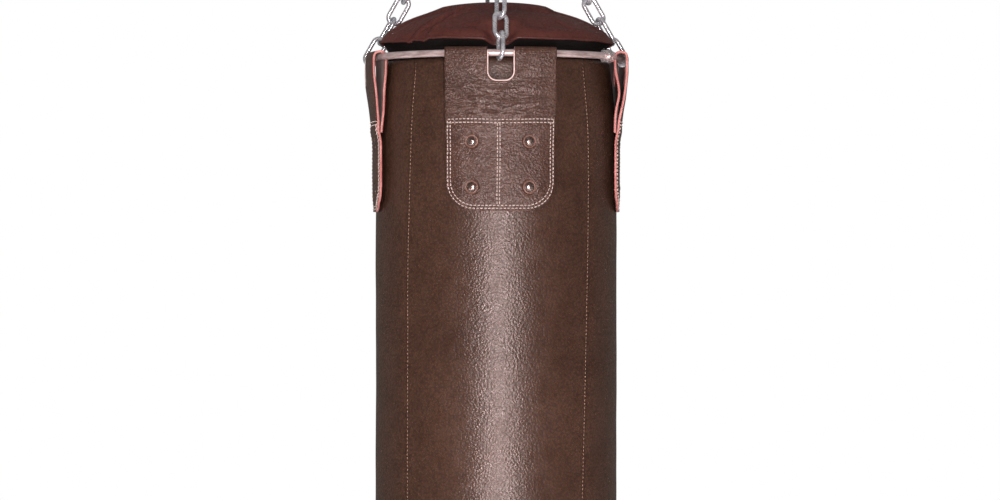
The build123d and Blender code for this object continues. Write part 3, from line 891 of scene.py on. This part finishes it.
def in_slot(u, s):
    """Whether a place lies in the chain slot, which has round corners at both ends."""
    if abs(u) > SLOT_HALF or not SLOT_LOW < s < SLOT_HIGH:
        return False
    for d in (s - SLOT_LOW, SLOT_HIGH - s):
        if abs(u) > SLOT_FLAT and 0 <= d < SLOT_ROUND:
            return hypot(abs(u) - SLOT_FLAT, SLOT_ROUND - d) < SLOT_ROUND
    return True


def off_corner(u, s):
    """Whether a place lies outside the round bottom corners."""
    return (abs(u) > HALF - CORNER and s < CORNER
            and hypot(abs(u) - HALF + CORNER, CORNER - s) > CORNER)


def on_round(u, s):
    """Moves a place on a stepped cut edge onto the round corner beside it."""
    by_slot = SLOT_FLAT < abs(u) < SLOT_HALF + 0.5
    for cu, cs, rad, near in (
        (HALF - CORNER, CORNER, CORNER, s < CORNER and abs(u) > HALF - CORNER),
        (SLOT_FLAT, SLOT_LOW + SLOT_ROUND, SLOT_ROUND,
         by_slot and SLOT_LOW - 2 < s < SLOT_LOW + SLOT_ROUND),
        (SLOT_FLAT, SLOT_HIGH - SLOT_ROUND, SLOT_ROUND,
         by_slot and SLOT_HIGH - SLOT_ROUND < s < SLOT_HIGH + 2),
    ):
        if near:
            du, ds = abs(u) - cu, s - cs
            d = hypot(du, ds)
            return (cu + du / d * rad) * (1 if u > 0 else -1), cs + ds / d * rad
    return u, s


def make_tab(side):
    """Strap with its chain slot and rounded corners cut, folded over the hoop."""
    step = 2.2
    us = axis_places(-HALF, HALF, step, (-SLOT_HALF, SLOT_HALF))
    ss = axis_places(0.0, TOTAL, step, (SLOT_LOW, SLOT_HIGH))
    cols = len(us)
    faces = []
    for f in grid_faces(len(ss), cols):
        u = sum(us[i % cols] for i in f) / 4
        s = sum(ss[i // cols] for i in f) / 4
        if not in_slot(u, s) and not off_corner(u, s):
            faces.append(f)
    count = {}
    for f in faces:
        for i in f:
            count[i] = count.get(i, 0) + 1
    flat = {}
    for i, n in count.items():
        u, s = us[i % cols], ss[i // cols]
        flat[i] = on_round(u, s) if n < 4 else (u, s)
    index = {i: k for k, i in enumerate(sorted(flat))}
    verts = [tab_point(side, *flat[i]) for i in sorted(flat)]
    obj = build(f"leather_tab_{side}", verts, [tuple(index[i] for i in f) for f in faces], [TAB, SUEDE, EDGE])
    soften = obj.modifiers.new("soften", "SMOOTH")
    soften.factor, soften.iterations = 0.35, 1
    apply_modifiers(obj)
    solidify(obj, 3.3 * MM, 0.0, 1, 2)
    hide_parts(f"tab_{side}")


def rounded_run(inset):
    """Down one side, round the bottom corners and up the other, inset from the tab's edge."""
    top = length_at(PATCH_H - 4.0)
    x, rad, middle = HALF - inset, CORNER - inset, HALF - CORNER
    turn = [QUARTER * k / 24 for k in range(25)]
    pts = [(-x, top - i) for i in range(int(top - CORNER))]
    pts += [(-middle - rad * cos(t), CORNER - rad * sin(t)) for t in turn]
    pts += [(-middle + i, inset) for i in range(1, int(2 * middle))]
    pts += [(middle + rad * sin(t), CORNER - rad * cos(t)) for t in turn]
    pts += [(x, CORNER + 1.0 + i) for i in range(int(top - CORNER))]
    return pts


def tab_stitch_runs(side):
    """Double rows round the patch and two down its middle."""
    surface = lambda u, s: tab_face(side, u, s, 1.7)
    edge_row, second_row = 3.4, 8.0
    runs = [rounded_run(edge_row), rounded_run(second_row)]
    top_rows = [length_at(h) for h in (PATCH_H - 2.5, PATCH_H - 7.0)]
    for s in top_rows:
        runs.append([(-HALF + edge_row + i, s + 0.5 * sin(i / 17.0)) for i in range(int(2 * HALF - 6.0))])
    for x in (-5.0, -1.0):
        down = range(int(top_rows[1] - second_row))
        runs.append([(x + 0.4 * sin(i / 23.0), top_rows[1] - i) for i in down])
    return [run_along(surface, r, STITCH_PITCH) for r in runs]


def slot_bead(side):
    """Painted edge of the chain slot, coloured lighter than the other edges as a painted highlight, from the
    fold down one side, round and up the other.
    """
    top, inset = TOP_S - 9.0, 0.3
    x, rad, low = SLOT_HALF - inset, SLOT_ROUND - inset, SLOT_LOW + SLOT_ROUND
    turn = [QUARTER * k / 12 for k in range(13)]
    run = [(-x, top - i) for i in range(int(top - low))]
    run += [(-SLOT_FLAT - rad * cos(t), low - rad * sin(t)) for t in turn]
    run += [(u, SLOT_LOW + inset) for u in (-3.0, 0.0, 3.0)]
    run += [(SLOT_FLAT + rad * sin(t), low - rad * cos(t)) for t in turn]
    run += [(x, low + 1.0 + i) for i in range(int(top - low))]
    points = [tab_face(side, u, s, 0.7)[0] for u, s in run]
    tube(f"slot_edge_{side}", points, [1.15 * MM] * len(points), HIGHLIGHT_BEAD, 8, closed=False,
         facing=at(1.0, AZ[side], 0.0) - at(0.0, AZ[side], 0.0))


for side in AZ:
    make_tab(side)
    slot_bead(side)
    stitches(f"tab_stitches_{side}", tab_stitch_runs(side), TAB_THREAD, 3.9 * MM, 0.66 * MM)


def make_rivets(side):
    """Four domed heads with their shanks and burrs, each in its own pressed ring of leather, whose light
    colour is a painted highlight.
    """
    verts, faces = [], []
    outline = [(-9.2, 4.4), (-8.1, 4.4), (-8.0, 1.9), (0.0, 1.9), (0.0, 5.7), (0.35, 6.0), (0.8, 5.95)]
    outline += [(0.8 + 2.5 * sin(t), 5.9 * cos(t)) for t in [QUARTER * k / 9 for k in range(1, 9)]]
    outline += [(3.3, 0.25)]
    n, ring_r = 28, 9.4
    for number, (u, h) in enumerate(RIVETS, 1):
        off = AZ[side] + degrees(u / ARM)
        a = radians(off)
        out, across = Vector((cos(a), sin(a), 0)), Vector((-sin(a), cos(a), 0))
        middle = at(ARM + 1.35, off, h)
        base = len(verts)
        for lift, r in outline:
            for k in range(n):
                t = 2 * pi * k / n
                verts.append(middle + (out * lift + across * (r * cos(t)) + Vector((0, 0, r * sin(t)))) * MM)
        faces += [tuple(base + i for i in f) for f in grid_faces(len(outline), n, True)]
        last = base + (len(outline) - 1) * n
        faces += [tuple(base + k for k in range(n)), tuple(last + k for k in range(n))]
        turn = [2 * pi * k / 40 for k in range(40)]
        ring = [tab_face(side, u + ring_r * cos(t), length_at(h) + ring_r * sin(t), 1.7)[0] for t in turn]
        tube(f"pressed_ring_{side}_{number}", ring, [1.2 * MM] * len(ring), HIGHLIGHT_RING, 8,
             facing=out)
    obj = build(f"rivet_set_{side}", verts, faces, [RIVET], closed_shell=True)
    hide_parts(f"rivets_{side}")


for side in AZ:
    make_rivets(side)


# ------------------------------------------------------------------ camera, world and lights
def aim(obj, target):
    """Turns a camera or light to look at a point."""
    obj.rotation_mode = "QUATERNION"
    obj.rotation_quaternion = (Vector(target) - obj.location).to_track_quat("-Z", "Y")


scene = bpy.context.scene
scene.view_settings.view_transform = "Standard"
cam = bpy.data.objects.new("camera", bpy.data.cameras.new("camera"))
scene.collection.objects.link(cam)
cam.data.lens, cam.data.sensor_width = 130.0, 36.0
eye, far = HOOP_Z - 0.277, 5.25          # the camera's height and distance
turn = radians(-2.0)
cam.location = (far * sin(turn), -far * cos(turn), eye)
aim(cam, (0.0055, 0.0, eye))
cam.data.clip_start, cam.data.clip_end = 0.1, 100.0
scene.camera = cam

world = bpy.data.worlds.new("studio")
scene.world = world
world.use_nodes = True
tree = world.node_tree
back = tree.nodes["Background"]          # lights the bag; the camera sees the plain white one
rays = tree.nodes.new("ShaderNodeLightPath")
plain = tree.nodes.new("ShaderNodeBackground")
plain.inputs[0].default_value = (1, 1, 1, 1)
plain.inputs[1].default_value = 1.0
back.inputs[0].default_value = (1.0, 0.93, 0.90, 1)
back.inputs[1].default_value = 0.15
blend_node = tree.nodes.new("ShaderNodeMixShader")
tree.links.new(rays.outputs["Is Camera Ray"], blend_node.inputs[0])
tree.links.new(back.outputs[0], blend_node.inputs[1])
tree.links.new(plain.outputs[0], blend_node.inputs[2])
tree.links.new(blend_node.outputs[0], tree.nodes["World Output"].inputs[0])


def area(name, place, target, width, power, colour=(1, 1, 1)):
    """Tall soft light that the camera doesn't see."""
    light = bpy.data.lights.new(name, "AREA")
    light.shape = "RECTANGLE"
    light.size, light.size_y = width, 2.2
    light.energy, light.color = power, colour
    obj = bpy.data.objects.new(name, light)
    scene.collection.objects.link(obj)
    obj.location = place
    obj.visible_camera = False
    aim(obj, target)
    return obj


key_z = HOOP_Z - 0.75
area("strip_key", (0.03, -3.6, key_z), (0.0, 0.0, key_z), 0.12, 170.0, (1.0, 0.80, 0.78))
for name, place, width, power in (
    ("front_fill", (-2.5, -3.9, 0.5), 1.3, 118.0),
    ("right_fill", (2.4, -4.0, 0.3), 1.8, 42.0),
    ("top_soft", (0.0, -1.4, 2.4), 1.6, 35.0),
    ("back_left", (-2.6, 2.2, 0.2), 1.6, 80.0),
    ("back_right", (2.6, 2.2, 0.2), 1.6, 80.0),
):
    fill = area(name, place, (0.0, 0.0, -0.6), width, power)
    fill.visible_glossy = False

# pale round floor well below the hanging bag
floor_mat, tree, bsdf, place = material("floor")
tint = ramp(tree, noise_tex(tree, place, 3.0), (0.3, grey(0.78)), (0.7, grey(0.82)))
tree.links.new(tint, bsdf.inputs["Base Color"])
bsdf.inputs["Roughness"].default_value = 0.6
disc = bmesh.new()
bmesh.ops.create_circle(disc, cap_ends=True, segments=96, radius=2.2)
floor_mesh = bpy.data.meshes.new("floor")
disc.to_mesh(floor_mesh)
disc.free()
floor_mesh.materials.append(floor_mat)
floor = bpy.data.objects.new("floor", floor_mesh)
scene.collection.objects.link(floor)
floor.location = (0, 0, BOTTOM_Z - 0.35)
